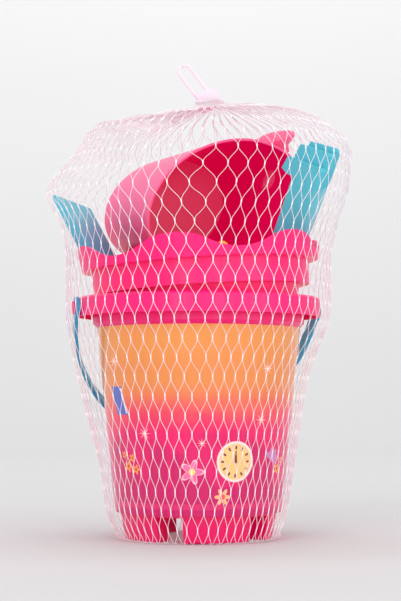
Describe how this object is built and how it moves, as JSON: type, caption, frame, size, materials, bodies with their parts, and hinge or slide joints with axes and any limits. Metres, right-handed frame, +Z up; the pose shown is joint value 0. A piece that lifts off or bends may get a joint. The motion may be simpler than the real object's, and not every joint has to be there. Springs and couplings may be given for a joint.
{
  "type": "sand bucket set",
  "caption": "Sand bucket with castle foot, printed sleeve and swinging handle, packed with a sieve, watering can, star mould, shovel and rake in a net bag with a hanging loop.",
  "frame": {"origin": "centre of the net's underside, where the set stands on the ground", "axes": "+Z up to the hanging loop, -Y towards the front of the printed sleeve and the can's open mouth, +X towards the rake"},
  "size_m": [0.2251, 0.212, 0.3523],
  "materials": {
    "pink_plastic": "satin moulded",
    "printed_film": "glossy printed film, orange fading to magenta",
    "teal_plastic": "satin moulded",
    "rose_plastic": "satin moulded",
    "yellow_plastic": "satin moulded",
    "blue_plastic": "glossy moulded",
    "white_net": "milky extruded strands",
    "clear_tab": "milky translucent"
  },
  "bodies": {
    "bucket": {"bucket_shell": "pink_plastic", "printed_sleeve": "printed_film", "net_bag": "white_net"},
    "bail": {"bail": "teal_plastic"},
    "sieve": {"sieve": "pink_plastic"},
    "bag_top": {"net_closure": "clear_tab", "hang_loop": "clear_tab"},
    "watering_can": {"can_body": "rose_plastic", "can_spout": "rose_plastic", "can_rose": "rose_plastic", "can_grip": "rose_plastic"},
    "star_mould": {"star_mould": "yellow_plastic"},
    "shovel": {"shovel": "blue_plastic"},
    "rake": {"rake": "blue_plastic"}
  },
  "joints": [
    {"name": "bail_swing", "type": "hinge", "parent": "bucket", "child": "bail", "pos_m": [0, 0, 0.1678], "axis": [0.9681, 0.2504, 0], "range_deg": [0, 22], "deforming": ["net_bag"]},
    {"name": "sieve_lift", "type": "slide", "parent": "bucket", "child": "sieve", "axis": [0, 0, 1], "range_m": [0, 0.025], "deforming": ["net_bag"]},
    {"name": "bag_top_rise", "type": "slide", "parent": "bucket", "child": "bag_top", "axis": [0, 0, 1], "range_m": [0, 0.025], "deforming": ["net_bag"]},
    {"name": "can_lift", "type": "slide", "parent": "sieve", "child": "watering_can", "axis": [0, 0, 1], "range_m": [0, 0.004], "deforming": ["net_bag"]},
    {"name": "mould_lift", "type": "slide", "parent": "sieve", "child": "star_mould", "axis": [0, 0, 1], "range_m": [0, 0.01], "deforming": ["net_bag"]},
    {"name": "shovel_slide", "type": "slide", "parent": "sieve", "child": "shovel", "axis": [-0.4769, 0.3979, 0.7838], "range_m": [0, 0.015], "deforming": ["net_bag"]},
    {"name": "rake_slide", "type": "slide", "parent": "sieve", "child": "rake", "axis": [0.3016, -0.35, 0.8869], "range_m": [0, 0.012], "deforming": ["net_bag"]}
  ],
  "couplings": [
    {"joint": "bag_top_rise", "follows": "sieve_lift", "ratio": 1}
  ]
}
